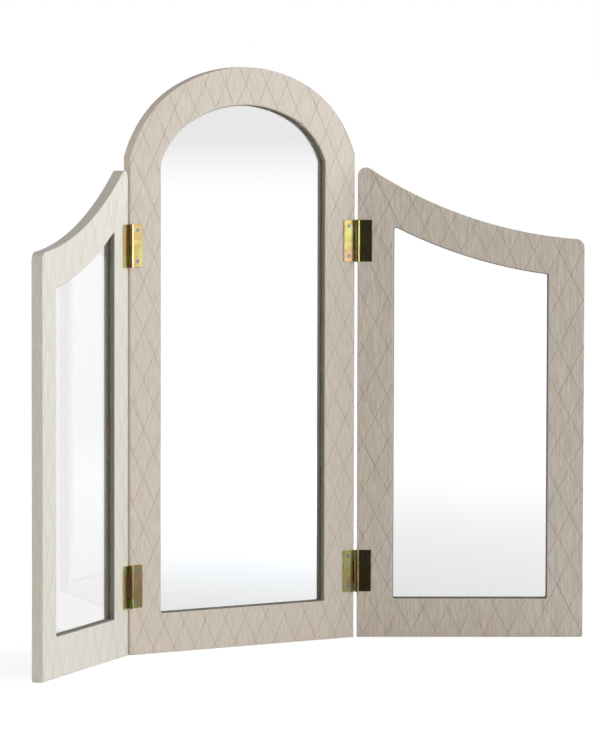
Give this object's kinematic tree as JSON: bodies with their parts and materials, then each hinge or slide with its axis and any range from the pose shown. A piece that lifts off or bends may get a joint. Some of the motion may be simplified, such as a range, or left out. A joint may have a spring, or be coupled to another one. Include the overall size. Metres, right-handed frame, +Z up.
{
  "type": "folding vanity mirror",
  "caption": "Folding table mirror: an arched centre mirror panel with a swept mirror wing hinged to each side, in limewashed wood frames.",
  "frame": {"origin": "middle of the centre panel's bottom face, at mid thickness", "axes": "+X to the viewer's right, -Y out of the front of the centre mirror, +Z up"},
  "size_m": [0.8066, 0.1745, 0.696],
  "materials": {
    "limed_wood": "limewashed vertical grain with a fine incised diamond lattice",
    "mirror_glass": "back-silvered clear glass",
    "hardboard": "plain brown hardboard",
    "hinge_steel": "yellow zinc passivated",
    "screw_steel": "bright zinc plated"
  },
  "bodies": {
    "centre_panel": {"centre_frame": "limed_wood", "centre_glass": "mirror_glass", "centre_back_board": "hardboard", "centre_back_screws": "screw_steel", "centre_hinge_screws": "screw_steel", "left_top_hinge_centre_leaf": "hinge_steel", "left_top_hinge_pin": "hinge_steel", "left_bottom_hinge_centre_leaf": "hinge_steel", "left_bottom_hinge_pin": "hinge_steel", "right_top_hinge_centre_leaf": "hinge_steel", "right_top_hinge_pin": "hinge_steel", "right_bottom_hinge_centre_leaf": "hinge_steel", "right_bottom_hinge_pin": "hinge_steel"},
    "left_wing": {"left_wing_frame": "limed_wood", "left_wing_glass": "mirror_glass", "left_wing_back_board": "hardboard", "left_wing_back_screws": "screw_steel", "left_wing_hinge_screws": "screw_steel", "left_top_hinge_wing_leaf": "hinge_steel", "left_bottom_hinge_wing_leaf": "hinge_steel"},
    "right_wing": {"right_wing_frame": "limed_wood", "right_wing_glass": "mirror_glass", "right_wing_back_board": "hardboard", "right_wing_back_screws": "screw_steel", "right_wing_hinge_screws": "screw_steel", "right_top_hinge_wing_leaf": "hinge_steel", "right_bottom_hinge_wing_leaf": "hinge_steel"}
  },
  "joints": [
    {"name": "left_wing_fold", "type": "hinge", "parent": "centre_panel", "child": "left_wing", "pos_m": [-0.167, -0.01015, 0.2834], "axis": [0, 0, 1], "range_deg": [-35.3, 144.7]},
    {"name": "right_wing_fold", "type": "hinge", "parent": "centre_panel", "child": "right_wing", "pos_m": [0.167, -0.01015, 0.2834], "axis": [0, 0, -1], "range_deg": [-35.3, 129.7]}
  ]
}
